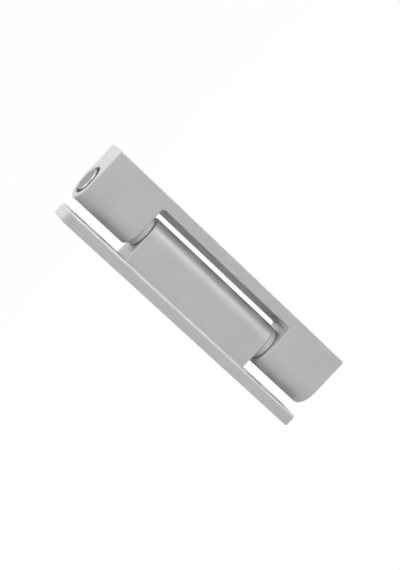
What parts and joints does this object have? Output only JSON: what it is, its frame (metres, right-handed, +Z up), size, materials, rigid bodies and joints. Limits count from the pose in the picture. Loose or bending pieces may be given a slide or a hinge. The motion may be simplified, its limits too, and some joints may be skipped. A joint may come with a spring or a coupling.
{
  "type": "door hinge",
  "caption": "Surface-fixed door hinge: a frame bracket with a knuckle at each end, a sash leaf with a barrel between them, and a headed pin in flanged bushes.",
  "frame": {"origin": "centre of the bracket's frame face, which is screwed to the door frame", "axes": "+X out of the frame face towards the door frame, +Z up the pin towards its head, -Y the front side; at rest the door stands open at a right angle"},
  "size_m": [0.0327, 0.0174, 0.1215],
  "materials": {
    "satin_metal": "satin silver, fine even grain",
    "bush": "moulded bearing plastic, grey",
    "pin_steel": "ground steel"
  },
  "bodies": {
    "bracket": {"frame_bracket": "satin_metal", "upper_bush": "bush", "lower_bush": "bush"},
    "leaf": {"sash_leaf": "satin_metal", "hinge_pin": "pin_steel", "pin_lock_screw": "pin_steel"}
  },
  "joints": [
    {"name": "leaf_swing", "type": "hinge", "parent": "bracket", "child": "leaf", "pos_m": [-0.0157, 0, 0], "axis": [0, 0, 1], "range_deg": [-90, 90]}
  ]
}
